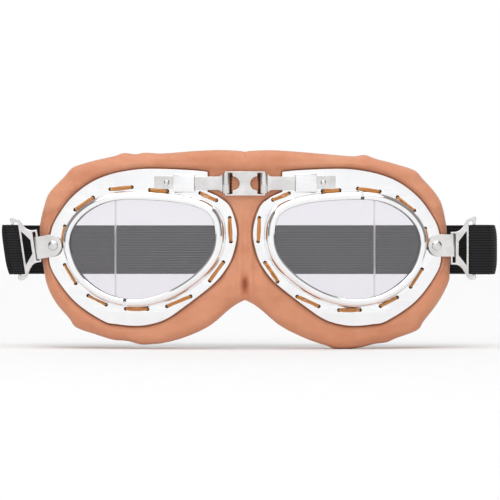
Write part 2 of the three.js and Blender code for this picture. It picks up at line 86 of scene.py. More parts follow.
# Depths are measured back from the hinge plane, and the tab's reach outward from its rivet.
FLANGE_FRONT, FLANGE_BACK = 1.0, 1.8
TAB_REACH, TAB_FRONT = 8.1, -1.0
ROLL_DEPTH = 0.75
RIVET_U = (RIVET.x - HINGE.x) / COS
RIVET_HEIGHT = RIVET.z + GROUND
ARM_RIVET_U, ARM_RIVET_HEIGHT = 30.4, 83.2
# Half the strap's thickness, its straight lead past the buckle's bar, and its ribs across the width.
STRAP_HALF, LEAD, RIBS = 0.75, 1.2, 19

LENS_POINTS = [
    (79.4, 54), (73.6, 65.8), (59.5, 73.5), (39.5, 74.3), (18.1, 71.8), (6.6, 65.4),
    (5.5, 50.8), (13.5, 39), (28.3, 29.2), (44.7, 25), (61, 28), (74.3, 38.5),
]
FLANGE_POINTS = [
    (9.6, 88.3), (18.2, 89.2), (36.6, 90), (47.9, 89.5), (60.1, 87.2), (70.3, 83), (79.1, 76.4),
    (85.2, 69), (90, 60), (91.5, 47), (88.8, 37.5), (78, 23.7), (63.2, 14), (55.5, 12.3),
    (47.3, 11.6), (39.5, 12.3), (31, 15), (21.3, 21.4), (7, 32.4), (0.4, 40), (-3.3, 47.5),
    (-5.3, 58.5), (-2.1, 70.2), (3.1, 75.3), (9.6, 78.4),
]
STITCHES = {
    "left": [
        (59.6, 79.9), (48.5, 80.9), (39.1, 79.5), (30.2, 78.9), (13.4, 77.8), (5.2, 74.2),
        (-1.6, 65.4), (-2.2, 53.7), (1.6, 43.4), (8.5, 34.2), (18.3, 26.4), (30.4, 21.4),
        (40.4, 20), (51.6, 20.1), (61.8, 22.1), (71, 26.6), (77.5, 32.8), (83.2, 42),
        (85.1, 51.9), (83.2, 61.4), (77.8, 69.7), (68.5, 75.8),
    ],
    "right": [
        (59.6, 78.8), (48.3, 80.2), (38.9, 79.4), (30.2, 78.9), (13, 77.7), (4.9, 74.4),
        (-2.1, 65.4), (-2.7, 53.8), (0.8, 43.2), (7.2, 33.8), (17.2, 26.3), (28.2, 21.4),
        (38.6, 19.5), (49.4, 19.5), (60, 21.4), (68.6, 25.7), (75.6, 31), (81.5, 39.8),
        (85, 50.6), (83.2, 60.3), (77.5, 69.3), (68.8, 76),
    ],
}
HOLE_RADIUS = 0.92
# Spread of the doubled thread on each run over the front: flat at the nose, twisted tight at the temple.
SPREAD = {
    "left": (0.52, 0.46, 0.6, 0.55, 0.5, 0.5, 0.5, 0.14, 0.16, 0.12, 0.34),
    "right": (0.46, 0.48, 0.6, 0.46, 0.5, 0.58, 0.5, 0.34, 0.16, 0.14, 0.14),
}
# Silhouette of each half of the mask: distance from the middle, height. Cut by hand, so no two corners match.
MASK_POINTS = {
    "left": [
        (0, 98.4), (13, 99), (27, 98.4), (41, 97.4), (50, 97.8), (55, 97.1), (60.5, 97.8), (66, 96.2),
        (75.5, 94.2), (83, 92.2), (87.3, 90.4), (91, 86.2), (98.4, 78.4), (101, 72), (103.4, 62), (103.1, 53),
        (102.2, 44.5), (100, 33), (95.7, 23.8), (88.4, 15.2), (85, 10.8), (75, 7.4), (66, 4.8), (59, 4.3),
        (52, 2.6), (46, 2.9), (40, 3.6), (30, 6.4), (18, 12), (8, 20.3), (3, 23.6), (0, 24.6),
    ],
    "right": [
        (0, 98.4), (13, 98.9), (27, 98.1), (41, 97), (54, 96.1), (60, 96.8), (66, 94.8), (74.6, 92.7),
        (85.2, 89.4), (89.2, 85.4), (93, 81.4), (96.6, 77), (99.2, 71.8), (101.4, 62), (102, 54), (103.2, 46),
        (103.1, 38.6), (102.4, 33), (97, 23), (90, 14), (86.6, 9.4), (76, 5.5), (70.7, 3.4), (65, 2.8),
        (57, 0.9), (46, 0.3), (41, 2), (30, 5.9), (18, 12), (8, 20.3), (3, 23.6), (0, 24.6),
    ],
}


# ---------------------------------------------------------------- frames and meshes

def at(x, y, height):
    """A point of the goggles' own frame, in metres."""
    return Vector((x, y, height - GROUND)) * MM


def place(side, u, v, height):
    """A point of an eyepiece: outward from its hinge, behind it, above the ground."""
    return at(SIDES[side] * (HINGE.x + u * COS - v * SIN), HINGE.y + u * SIN + v * COS, height)


def hang(side, p, v, h):
    """A point of a side tab: outward from its rivet, behind the hinge plane, above the rivet."""
    tilt = TILT[side]
    u = RIVET_U + p * math.cos(tilt) + h * math.sin(tilt)
    return place(side, u, v, RIVET_HEIGHT - p * math.sin(tilt) + h * math.cos(tilt))


def add_object(name, data):
    obj = bpy.data.objects.new(name, data)
    bpy.context.scene.collection.objects.link(obj)
    return obj


def make_object(name, vertices, faces, smooth_angle=35):
    """A mesh object, smooth but for edges sharper than smooth_angle degrees."""
    mesh = bpy.data.meshes.new(name)
    mesh.from_pydata([tuple(v) for v in vertices], [], faces)
    bm = bmesh.new()
    bm.from_mesh(mesh)
    bmesh.ops.remove_doubles(bm, verts=bm.verts, dist=1e-6)
    bmesh.ops.recalc_face_normals(bm, faces=bm.faces)
    bm.to_mesh(mesh)
    bm.free()
    mesh.shade_smooth()
    mesh.set_sharp_from_angle(angle=math.radians(smooth_angle))
    return add_object(name, mesh)


def join(name, objects):
    """One mesh from several painted ones, with their material slots kept."""
    bm = bmesh.new()
    materials = []
    for obj in objects:
        first = len(bm.faces)
        bm.from_mesh(obj.data)
        bm.faces.ensure_lookup_table()
        slots = list(obj.data.materials)
        materials += [material for material in slots if material not in materials]
        for face in bm.faces[first:]:
            face.material_index = materials.index(slots[face.material_index])
    mesh = bpy.data.meshes.new(name)
    bm.to_mesh(mesh)
    bm.free()
    for material in materials:
        mesh.materials.append(material)
    for obj in objects:
        bpy.data.objects.remove(obj)
    return add_object(name, mesh)


def spline(points, closed, per_span):
    """Catmull-Rom curve through 2-D or 3-D points."""
    pts = np.array(points, float)
    count = len(pts)
    out = []
    for i in range(count if closed else count - 1):
        around = range(i - 1, i + 3)
        p0, p1, p2, p3 = (pts[k % count] if closed else pts[min(max(k, 0), count - 1)] for k in around)
        for k in range(per_span):
            t = k / per_span
            out.append(0.5 * (2 * p1 + (p2 - p0) * t + (2 * p0 - 5 * p1 + 4 * p2 - p3) * t ** 2
                              + (3 * p1 - p0 - 3 * p2 + p3) * t ** 3))
    if not closed:
        out.append(pts[-1])
    return np.array(out)


def resample(loop, count):
    """A closed loop with its points evenly spaced."""
    pts = np.vstack([loop, loop[:1]])
    run = np.concatenate([[0], np.cumsum(np.linalg.norm(np.diff(pts, axis=0), axis=1))])
    steps = np.linspace(0, run[-1], count + 1)[:-1]
    return np.stack([np.interp(steps, run, pts[:, k]) for k in range(pts.shape[1])], axis=1)


def tangents(loop):
    """Unit directions along a closed 2-D loop."""
    along = np.roll(loop, -1, axis=0) - np.roll(loop, 1, axis=0)
    return along / np.linalg.norm(along, axis=1)[:, None]


def offset(loop, distance):
    """A counter-clockwise 2-D loop moved outward."""
    along = tangents(loop)
    return loop + distance * np.stack([along[:, 1], -along[:, 0]], axis=1)


def circle(x, y, radius, count=24):
    angles = np.linspace(0, 2 * math.pi, count, endpoint=False)
    return np.stack([x + radius * np.cos(angles), y + radius * np.sin(angles)], axis=1)


LENS_LOOP = resample(spline(LENS_POINTS, True, 24), 180)
FLANGE_LOOP = spline(FLANGE_POINTS, False, 10)


def slab(name, loops, front, back, edge, mapping):
    """A flat piece with rounded edges: the first loop is its outline and the others are holes."""
    curve = bpy.data.curves.new(name, "CURVE")
    curve.dimensions = "2D"
    curve.fill_mode = "BOTH"
    curve.extrude = (back - front) / 2 - edge
    curve.bevel_depth = edge
    curve.bevel_resolution = 2
    curve.offset = -edge
    for loop in loops:
        path = curve.splines.new("POLY")
        path.points.add(len(loop) - 1)
        for point, (x, y) in zip(path.points, loop):
            point.co = (x, y, 0, 1)
        path.use_cyclic_u = True
    holder = add_object(name, curve)
    bpy.context.view_layer.update()
    source = bpy.data.meshes.new_from_object(holder.evaluated_get(bpy.context.evaluated_depsgraph_get()))
    middle = (front + back) / 2
    vertices = [mapping(v.co.x, middle + v.co.z, v.co.y) for v in source.vertices]
    faces = [tuple(f.vertices) for f in source.polygons]
    bpy.data.objects.remove(holder)
    return make_object(name, vertices, faces)


def turned(name, profile, centre, axis, count=32):
    """A round piece: profile of (radius, distance along axis) in mm, ends on the axis."""
    axis = Vector(axis).normalized()
    across = axis.orthogonal().normalized()
    other = axis.cross(across)
    vertices, faces = [], []
    for radius, along in profile:
        for i in range(count):
            angle = 2 * math.pi * i / count
            spoke = across * math.cos(angle) + other * math.sin(angle)
            vertices.append(centre + (spoke * max(radius, 1e-4) + axis * along) * MM)
    for row in range(len(profile) - 1):
        for i in range(count):
            j = (i + 1) % count
            a = row * count
            faces.append((a + i, a + j, a + count + j, a + count + i))
    faces.append(tuple(range(count)))
    faces.append(tuple(range((len(profile) - 1) * count, len(profile) * count)))
    return make_object(name, vertices, faces)


def swept(name, rings, closed, smooth_angle=60):
    """Skins a list of equal rings of points."""
    size = len(rings[0])
    vertices = [p for ring in rings for p in ring]
    faces = []
    spans = len(rings) if closed else len(rings) - 1
    for i in range(spans):
        a, b = i * size, ((i + 1) % len(rings)) * size
        for k in range(size):
            m = (k + 1) % size
            faces.append((a + k, a + m, b + m, b + k))
    if not closed:
        faces.append(tuple(range(size)))
        faces.append(tuple(range((len(rings) - 1) * size, len(rings) * size)))
    return make_object(name, vertices, faces, smooth_angle)


def tube(name, path, radius, count=10, closed=False):
    """A round cord along 3-D points in metres."""
    path = [Vector(p) for p in path]
    total = len(path)
    normal = None
    rings = []
    for i, here in enumerate(path):
        before = path[(i - 1) % total] if closed else path[max(i - 1, 0)]
        after = path[(i + 1) % total] if closed else path[min(i + 1, total - 1)]
        along = (after - before).normalized()
        normal = along.orthogonal() if normal is None else normal - along * normal.dot(along)
        normal.normalize()
        side = along.cross(normal)
        rings.append([
            here + (normal * math.cos(a) + side * math.sin(a)) * radius * MM
            for a in (2 * math.pi * k / count for k in range(count))
        ])
    return swept(name, rings, closed)


# ---------------------------------------------------------------- materials

def new_material(name, color, roughness, metallic=0.0):
    material = bpy.data.materials.new(name)
    material.use_nodes = True
    tree = material.node_tree
    shader = tree.nodes["Principled BSDF"]
    shader.inputs["Base Color"].default_value = (*color, 1)
    shader.inputs["Roughness"].default_value = roughness
    shader.inputs["Metallic"].default_value = metallic
    return material, tree, shader


def texture(tree, kind, scale, **values):
    node = tree.nodes.new(kind)
    coordinates = tree.nodes.new("ShaderNodeTexCoord")
    mapping = tree.nodes.new("ShaderNodeMapping")
    mapping.inputs["Scale"].default_value = values.pop("stretch", (1, 1, 1))
    tree.links.new(coordinates.outputs["Object"], mapping.inputs["Vector"])
    tree.links.new(mapping.outputs["Vector"], node.inputs["Vector"])
    node.inputs["Scale"].default_value = scale
    for key, value in values.items():
        if key in node.inputs:
            node.inputs[key].default_value = value
        else:
            setattr(node, key, value)
    return node


def tint(tree, shader, source, low, high, dark, light):
    """Runs the base colour between two tones as a texture's value goes from low to high."""
    node = tree.nodes.new("ShaderNodeValToRGB")
    first, last = node.color_ramp.elements
    first.position, last.position = low, high
    first.color, last.color = (*dark, 1), (*light, 1)
    tree.links.new(source, node.inputs["Fac"])
    tree.links.new(node.outputs["Color"], shader.inputs["Base Color"])


def vary_roughness(tree, shader, source, low, high):
    node = tree.nodes.new("ShaderNodeMapRange")
    node.inputs["To Min"].default_value = low
    node.inputs["To Max"].default_value = high
    tree.links.new(source, node.inputs["Value"])
    tree.links.new(node.outputs["Result"], shader.inputs["Roughness"])


def bump(tree, shader, source, distance, strength=1.0, under=None):
    node = tree.nodes.new("ShaderNodeBump")
    node.inputs["Distance"].default_value = distance
    node.inputs["Strength"].default_value = strength
    tree.links.new(source, node.inputs["Height"])
    if under is not None:
        tree.links.new(under, node.inputs["Normal"])
    tree.links.new(node.outputs["Normal"], shader.inputs["Normal"])
    return node.outputs["Normal"]


def chrome():
    material, tree, shader = new_material("polished_chrome", (0.93, 0.93, 0.94), 0.08, 1.0)
    haze = texture(tree, "ShaderNodeTexNoise", 90, Detail=4)
    scratch = texture(tree, "ShaderNodeTexNoise", 900, Detail=2, stretch=(0.05, 1, 1))
    vary_roughness(tree, shader, haze.outputs["Fac"], 0.03, 0.16)
    tint(tree, shader, haze.outputs["Fac"], 0.3, 0.7, (0.88, 0.885, 0.9), (0.95, 0.95, 0.955))
    wave = texture(tree, "ShaderNodeTexNoise", 45, Detail=1)
    first = bump(tree, shader, wave.outputs["Fac"], 0.0002, 0.4)
    bump(tree, shader, scratch.outputs["Fac"], 0.00001, 0.3, first)
    return material


def shade_painted_chrome():
    """Polished metal of the fittings, darker than the chrome: the darker colour is painted shade, as on the
    side tab turned from the light.
    """
    material, tree, shader = new_material("fittings_with_painted_shade", (0.74, 0.725, 0.72), 0.18, 1.0)
    haze = texture(tree, "ShaderNodeTexNoise", 140, Detail=4)
    brushed = texture(tree, "ShaderNodeTexNoise", 1100, Detail=2, stretch=(1, 1, 0.06))
    vary_roughness(tree, shader, haze.outputs["Fac"], 0.12, 0.28)
    tint(tree, shader, haze.outputs["Fac"], 0.3, 0.7, (0.64, 0.63, 0.625), (0.8, 0.79, 0.785))
    bump(tree, shader, brushed.outputs["Fac"], 0.000012, 0.4)
    return material


def leather():
    material, tree, shader = new_material("tan_leather", (0.72, 0.33, 0.19), 0.55)
    cloud = texture(tree, "ShaderNodeTexNoise", 38, Detail=5, Roughness=0.6)
    tint(tree, shader, cloud.outputs["Fac"], 0.32, 0.7, (0.6, 0.232, 0.122), (0.7, 0.315, 0.182))
    pores = texture(tree, "ShaderNodeTexVoronoi", 1500, Randomness=1.0)
    creases = texture(tree, "ShaderNodeTexNoise", 420, Detail=6, Roughness=0.65)
    vary_roughness(tree, shader, creases.outputs["Fac"], 0.42, 0.7)
    first = bump(tree, shader, pores.outputs["Distance"], 0.00022, 0.5)
    bump(tree, shader, creases.outputs["Fac"], 0.00035, 0.45, first)
    shader.inputs["Sheen Weight"].default_value = 0.12
    shader.inputs["Sheen Roughness"].default_value = 0.5
    shader.inputs["Specular IOR Level"].default_value = 0.35
    return material


# Painted shade: near-black leather for the faces hidden behind the flange and the hinge pins.
def shadowed_leather():
    material, tree, shader = new_material("leather_painted_shade", (0.045, 0.018, 0.01), 0.8)
    grain = texture(tree, "ShaderNodeTexNoise", 500, Detail=4)
    tint(tree, shader, grain.outputs["Fac"], 0.3, 0.7, (0.02, 0.009, 0.006), (0.075, 0.03, 0.016))
    bump(tree, shader, grain.outputs["Fac"], 0.0002, 0.4)
    return material


def brushed_lining():
    material, tree, shader = new_material("brushed_lining", (0.4, 0.2, 0.12), 0.95)
    nap = texture(tree, "ShaderNodeTexNoise", 900, Detail=6, Roughness=0.7)
    tint(tree, shader, nap.outputs["Fac"], 0.3, 0.72, (0.30, 0.135, 0.075), (0.52, 0.27, 0.165))
    bump(tree, shader, nap.outputs["Fac"], 0.0005, 0.8)
    shader.inputs["Sheen Weight"].default_value = 0.5
    return material


def elastic():
    material, tree, shader = new_material("ribbed_elastic", (0.012, 0.012, 0.013), 0.8)
    # Painted shade: near-black in the grooves between the ribs, dark grey on their crests.
    rib_shade = tree.nodes.new("ShaderNodeAttribute")
    rib_shade.attribute_name = "rib_shade"
    fuzz = texture(tree, "ShaderNodeTexNoise", 1400, Detail=4)
    tint(tree, shader, rib_shade.outputs["Fac"], 0.1, 0.8, (0.0006, 0.0006, 0.0008), (0.021, 0.021, 0.023))
    knit = texture(tree, "ShaderNodeTexWave", 420, wave_type="BANDS", bands_direction="X", Distortion=1.5)
    first = bump(tree, shader, knit.outputs["Fac"], 0.00002, 0.15)
    bump(tree, shader, fuzz.outputs["Fac"], 0.0001, 0.35, first)
    shader.inputs["Specular IOR Level"].default_value = 0.15
    shader.inputs["Sheen Weight"].default_value = 0.03
    return material


def thread():
    material, tree, shader = new_material("waxed_thread", (0.5, 0.17, 0.03), 0.55)
    twist = texture(tree, "ShaderNodeTexWave", 700, wave_type="BANDS", bands_direction="DIAGONAL",
                    Distortion=2)
    tint(tree, shader, twist.outputs["Fac"], 0.15, 0.9, (0.38, 0.12, 0.02), (0.85, 0.4, 0.12))
    bump(tree, shader, twist.outputs["Fac"], 0.00012, 0.8)
    return material


def clear_lens():
    material, tree, shader = new_material("clear_lens", (0.87, 0.852, 0.9), 0.015)
    shader.inputs["Transmission Weight"].default_value = 0.935
    shader.inputs["IOR"].default_value = 1.45
    smear = texture(tree, "ShaderNodeTexNoise", 25, Detail=3)
    vary_roughness(tree, shader, smear.outputs["Fac"], 0.0, 0.03)
    return material


# Painted highlight: the milky, part-opaque white of the crease strip stands in for the light caught along the
# crease.
def crease_highlight():
    material, tree, shader = new_material("lens_crease_painted_highlight", (0.9, 0.9, 0.92), 0.35)
    shader.inputs["Transmission Weight"].default_value = 0.55
    grain = texture(tree, "ShaderNodeTexNoise", 800, Detail=2)
    vary_roughness(tree, shader, grain.outputs["Fac"], 0.25, 0.45)
    return material


def rubber():
    material, tree, shader = new_material("black_rubber", (0.02, 0.02, 0.021), 0.6)
    grain = texture(tree, "ShaderNodeTexNoise", 600, Detail=3)
    vary_roughness(tree, shader, grain.outputs["Fac"], 0.45, 0.75)
    bump(tree, shader, grain.outputs["Fac"], 0.00005, 0.5)
    return material


def moulded_plastic():
    material, tree, shader = new_material("moulded_plastic", (0.018, 0.018, 0.02), 0.4)
    spark = texture(tree, "ShaderNodeTexNoise", 1800, Detail=2)
    vary_roughness(tree, shader, spark.outputs["Fac"], 0.3, 0.5)
    bump(tree, shader, spark.outputs["Fac"], 0.00004, 0.6)
    return material


CHROME, SHADE_PAINTED_CHROME, LEATHER, LINING, ELASTIC = chrome(), shade_painted_chrome(), leather(), brushed_lining(), elastic()
THREAD, GLASS, CREASE_HIGHLIGHT, RUBBER, PLASTIC = thread(), clear_lens(), crease_highlight(), rubber(), moulded_plastic()
SHADOWED = shadowed_leather()


def paint(obj, *materials):
    obj.data.materials.clear()
    for material in materials:
        obj.data.materials.append(material)
    return obj


def settle(obj, body, slot, *nodes):
    """The piece rides on a body and stands for CAD nodes; its slot argument is not used."""
    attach(obj, body)
    if nodes:
        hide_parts(*nodes)


# ---------------------------------------------------------------- bridge

def link_plate():
    """At each end a half-round window opens beside the strip that stands for the hinge pin."""
    half_height, thickness, edge = 6.05, 1.2, 0.22
    window, radius, window_half = 6.15, 3.45, 5.3
    strip = 0.6
    end, inner = HINGE.x + strip, HINGE.x - strip
    outline = [(-end, -half_height), (end, -half_height), (end, half_height), (-end, half_height)]
    windows = []
    for sign in (1, -1):
        arc = [(sign * (window - radius * math.sin(a)), sign * radius * math.cos(a))
               for a in np.linspace(0, math.pi, 25)]
        windows.append([(sign * inner, sign * -window_half), (sign * inner, sign * window_half),
                        (sign * window, sign * window_half), *arc, (sign * window, sign * -window_half)])
    plate = slab("link_plate_polished", [outline, *windows], 0.0, thickness, edge,
                 lambda x, v, z: at(x, v, z + GROUND))
    settle(paint(plate, SHADE_PAINTED_CHROME), "bridge", "chrome", "link_plate")


# ---------------------------------------------------------------- eyepiece

def flange(side):
    """Flat sheet with the lens opening and lace holes, and the raised loop that the arm passes under."""
    holes = [offset(LENS_LOOP, 0.4)] + [circle(u, z, HOLE_RADIUS, 20) for u, z in STITCHES[side]]
    sheet = slab(f"{side}_flange_sheet", [FLANGE_LOOP, *holes], FLANGE_FRONT, FLANGE_BACK, 0.14,
                 lambda u, v, z: place(side, u, v, z))
    start, end, bottom, top = 16, 26.7, 78.1, 87.5
    front, thick, corner = -1.1, 0.7, 1.1
    cut = corner * 0.3
    arch = [(bottom, FLANGE_FRONT), (bottom, front + corner), (bottom + cut, front + cut),
            (bottom + corner, front), (top - corner, front), (top - cut, front + cut),
            (top, front + corner), (top, FLANGE_FRONT), (top - thick, FLANGE_FRONT),
            (top - thick, front + corner), (top - corner, front + thick), (bottom + corner, front + thick),
            (bottom + thick, front + corner), (bottom + thick, FLANGE_FRONT)]
    loop = slab(f"{side}_flange_loop", [arch], start, end, 0.15,
                lambda z, u, v: place(side, u, v, z))
    piece = join(f"{side}_flange_polished", [paint(sheet, CHROME), paint(loop, CHROME)])
    settle(piece, f"{side}_eyepiece", "chrome", f"{side}_flange")


def rings_round(side, loop, profile):
    """Sections of (distance outward, depth) set round a loop of an eyepiece."""
    return [
        [place(side, u + d * dz, v, z - d * du) for d, v in profile]
        for (u, z), (du, dz) in zip(loop, tangents(loop))
    ]


def bezel(side):
    """Rounded split ring, swept round the lens opening from one side of its split to the other."""
    profile = spline([(4.2, 0.7), (4.2, -0.6), (4.0, -1.9), (3.4, -3.2), (2.3, -4.2), (1.1, -4.4),
                      (0.3, -4.0), (0, -3.4), (0.25, -3.15), (1.55, -3.15), (1.65, -2.6), (1.65, 0.7)],
                     True, 4)
    steps, points = 220, len(LENS_LOOP)
    # The left ring is split at the bottom and the right one at the top.
    split_u, span = {"left": (50.8, range(points // 2, points)), "right": (49.2, range(points // 2))}[side]
    nearest = min(span, key=lambda i: abs(LENS_LOOP[i][0] - split_u))
    split = int(round(nearest * steps / points))
    rings = rings_round(side, resample(LENS_LOOP, steps), profile)
    opened = [rings[(split + 1 + i) % steps] for i in range(steps - 1)]
    piece = swept(f"{side}_bezel_polished", opened, False)
    settle(paint(piece, CHROME), f"{side}_eyepiece", "chrome", f"{side}_bezel")


def lens(side):
    """Clear pane in upright strips, with a fine crease between its two fields; the crease strip's milky white
    finish is a painted highlight.
    """
    front, back, lap, inset = -2.9, -1.4, 1.1, 0.25
    crease, half_width, depth = 55.95, 0.35, 0.35
    edge = offset(LENS_LOOP, lap)
    low, high = edge[:, 0].min() + inset, edge[:, 0].max() - inset
    columns = sorted([*np.linspace(low, high, 60), crease - half_width, crease, crease + half_width])
    vertices, faces = [], []
    for u in columns:
        crossings = []
        for a, b in zip(edge, np.roll(edge, -1, axis=0)):
            if (a[0] - u) * (b[0] - u) <= 0 and a[0] != b[0]:
                crossings.append(a[1] + (b[1] - a[1]) * (u - a[0]) / (b[0] - a[0]))
        bottom, top = min(crossings), max(crossings)
        face = front + (depth if abs(u - crease) < 0.01 else 0)
        corners = ((bottom, face), (top, face), (top, back), (bottom, back))
        vertices += [place(side, u, v, z) for z, v in corners]
    for i in range(len(columns) - 1):
        a, b = 4 * i, 4 * i + 4
        faces += [(a + k, a + (k + 1) % 4, b + (k + 1) % 4, b + k) for k in range(4)]
    faces += [(0, 1, 2, 3), tuple(len(vertices) - 4 + k for k in range(4))]
    piece = paint(make_object(f"{side}_lens_pane", vertices, faces, 5), GLASS, CREASE_HIGHLIGHT)
    for polygon in piece.data.polygons:
        centre = polygon.center / MM
        u = (abs(centre.x) - HINGE.x) * COS + (centre.y - HINGE.y) * SIN
        # The strip along the crease takes the painted highlight.
        polygon.material_index = int(abs(u - crease) < half_width)
    settle(piece, f"{side}_eyepiece", "lens", f"{side}_lens")


def gasket(side):
    """Dark seat behind the lens."""
    profile = [(1.5, -1.05), (1.5, 0.65), (0.3, 0.65), (0.1, 0.3), (0.1, -0.8), (0.3, -1.05)]
    rings = rings_round(side, resample(LENS_LOOP, 160), profile)
    piece = swept(f"{side}_gasket_rubber", rings, True)
    settle(paint(piece, RUBBER), f"{side}_eyepiece", "rubber", f"{side}_lens_gasket")


def bridge_arm(side):
    """Sheet rolled into a sleeve round the hinge pin, with a tongue riveted to the flange."""
    front, back, top, bottom = 0.1, 0.8, 87.45, 77.55
    sleeve_radius, bore, rivet_hole = 1.9, 0.95, 0.85
    flare = [(0.5, bottom), (1.9, bottom), (2.3, 78.3), (2.9, 79), (4.2, 79.3), (16, 79.3), (26.7, 79.9),
             (36.2, 79.9), (36.6, 80.3), (36.6, 86), (36.2, 86.4), (26.7, 86.4), (16, 86), (4.2, 86),
             (2.9, 86.3), (2.3, 86.9), (1.9, top), (0.5, top)]
    hole = circle(ARM_RIVET_U, ARM_RIVET_HEIGHT, rivet_hole, 20)
    sheet = slab(f"{side}_arm_sheet", [flare, hole], front, back, 0.14,
                 lambda u, v, z: place(side, u, v, z))
    ring = [circle(0, 0, sleeve_radius, 40), circle(0, 0, bore, 32)]
    sleeve = slab(f"{side}_arm_sleeve", ring, bottom, top, 0.15, lambda u, z, v: place(side, u, v, z))
    piece = join(f"{side}_bridge_arm_polished", [paint(sheet, SHADE_PAINTED_CHROME), paint(sleeve, SHADE_PAINTED_CHROME)])
    settle(piece, f"{side}_eyepiece", "chrome", f"{side}_bridge_arm")


def dome(radius, height, rim, steps):
    """Profile of a rivet's head, from its crown to its rim."""
    return [(radius * math.sin(a), rim - height * math.cos(a)) for a in np.linspace(0, math.pi / 2, steps)]


def rivets(side):
    """The arm's small rivet, and the tab's large one with the shoulder that the tab turns on."""
    axis = place(side, 0, 1, 0) - place(side, 0, 0, 0)
    small_profile = [*dome(1.3, 0.85, -0.2, 7), (0.7, -0.15), (0.7, 2.1)]
    small = turned(f"{side}_arm_rivet_domed", small_profile, place(side, ARM_RIVET_U, 0, ARM_RIVET_HEIGHT),
                   axis, 28)
    settle(paint(small, SHADE_PAINTED_CHROME), f"{side}_eyepiece", "chrome", f"{side}_arm_rivet")
    large_profile = [*dome(2.5, 1.3, -1.3, 10), (2.4, -1.22), (1.2, -1.2), (1.2, 0), (2.0, 0), (2.0, 0.7),
                     (1.2, 0.72), (1.2, 2.1), (1.9, 2.15), (1.9, 3.6)]
    large = turned(f"{side}_tab_rivet_domed", large_profile, place(side, RIVET_U, 0, RIVET_HEIGHT), axis, 40)
    settle(paint(large, SHADE_PAINTED_CHROME), f"{side}_eyepiece", "chrome", f"{side}_tab_rivet")


def thread_route(side):
    """The lace's own line, over the front between two holes and along behind, with its threads' spread."""
    holes = [np.array(hole) for hole in STITCHES[side]]
    tight, behind, behind_spread = 0.16, 4.6, 0.3
    # Distance from the hole, depth, and how far the threads have opened: up out of a hole, then the middle.
    rise = ((0.25, 3.6, 0.3), (0.35, 1.5, 0.3), (1.1, 0.36, 0.7), (3.2, 0.2, 1.0))
    middle = (0.5, 0.16, 1.0)
    stations = []
    for index in range(0, len(holes), 2):
        start, end, following = holes[index], holes[index + 1], holes[(index + 2) % len(holes)]
        spread = SPREAD[side][index // 2]
        length = np.linalg.norm(end - start)
        run = [(distance / length, v, opened) for distance, v, opened in rise] + [middle]
        run += [(1 - t, v, opened) for t, v, opened in run[-2::-1]]
        for t, v, opened in run:
            u, z = start + (end - start) * t
            stations.append((u, v, z, tight + (spread - tight) * opened))
        for t in (0.25, 0.75):
            u, z = end + (following - end) * t
            stations.append((u, behind, z, behind_spread))
    return spline(stations, True, 4)


def lacing(side):
    """Doubled waxed thread: two strands side by side that roll to and fro along the running stitch."""
    strand_radius, roll, roll_step, flatness = 0.46, 0.75, 0.19, 0.6
    route = thread_route(side)
    outward = Vector(place(side, 0, -1, 0) - place(side, 0, 0, 0)) / MM
    strands = []
    for sign in (-1, 1):
        path = []
        for i, (u, v, z, spread) in enumerate(route):
            here = place(side, u, v, z)
            near = place(side, *route[i - 1][:3])
            far = place(side, *route[(i + 1) % len(route)][:3])
            across = (far - near).normalized().cross(outward)
            if across.length < 0.3:
                across = (far - near).cross(Vector((0.3, 0, 1)))
            across.normalize()
            turn = roll * math.sin(i * roll_step)
            shift = across * math.cos(turn) + outward * math.sin(turn) * flatness
            path.append(here + shift * sign * spread * MM)
        strands.append(paint(tube(f"{side}_strand", path, strand_radius, 10, True), THREAD))
    piece = join(f"{side}_lacing_thread", strands)
    settle(piece, f"{side}_eyepiece", "thread", f"{side}_lacing")


# ---------------------------------------------------------------- mask

# The wearer's head as a drum, and how deep the pads reach at the temples.
HEAD_RADIUS, HEAD_FRONT, DEEPEST = 130.0, 12.0, 44.0
# The leather starts just behind the flange and stops short of the face by the second figure.
LEATHER_FRONT, LEATHER_BACK = 2.05, 3.6
# The tunnel behind the lens: its depth and its margin past the lens, in the leather and in the cushion.
TUNNEL_DEPTH, LEATHER_MARGIN, CUSHION_MARGIN = 6.0, 4.2, 5.4
NOSE_EASE = 42
HALF = {side: spline(points, False, 8) for side, points in MASK_POINTS.items()}


def smooth(low, high, value):
    """Eased step from 0 at low to 1 at high."""
    t = np.clip((value - low) / (high - low), 0, 1)
    return t * t * (3 - 2 * t)


def front_depth(x, v):
    """Depth of the eyepiece plane at a distance from the middle, eased across the nose."""
    eased = np.sqrt(x * x + NOSE_EASE)
    return HINGE.y + (eased - HINGE.x) * math.tan(WRAP) + v / COS


def back_depth(x):
    """Depth of the wearer's face, a drum that the pads are cut to."""
    return np.minimum(HEAD_FRONT + HEAD_RADIUS - np.sqrt(HEAD_RADIUS ** 2 - x * x), DEEPEST)


def edge_distance(side, x, z):
    """Distance from each point to the outline of the whole mask, both halves of it."""
    across = HALF["right" if side == "left" else "left"] * [-1, 1]
    outline = np.vstack([across[::-1], HALF[side]])
    a, b = outline[:-1], outline[1:]
    span = b - a
    points = np.stack([x, z], axis=-1)[..., None, :]
    length = np.maximum((span * span).sum(-1), 1e-9)
    t = np.clip(((points - a) * span).sum(-1) / length, 0, 1)
    return np.linalg.norm(points - (a + t[..., None] * span), axis=-1).min(-1)


def polar(loop, centre, angles):
    """Radius of a star-shaped loop at each angle."""
    rel = loop - centre
    theta = np.arctan2(rel[:, 1], rel[:, 0])
    radius = np.hypot(rel[:, 0], rel[:, 1])
    order = np.argsort(theta)
    theta, radius = theta[order], radius[order]
    around = np.concatenate([theta - 2 * math.pi, theta, theta + 2 * math.pi])
    return np.interp(angles, around, np.tile(radius, 3))


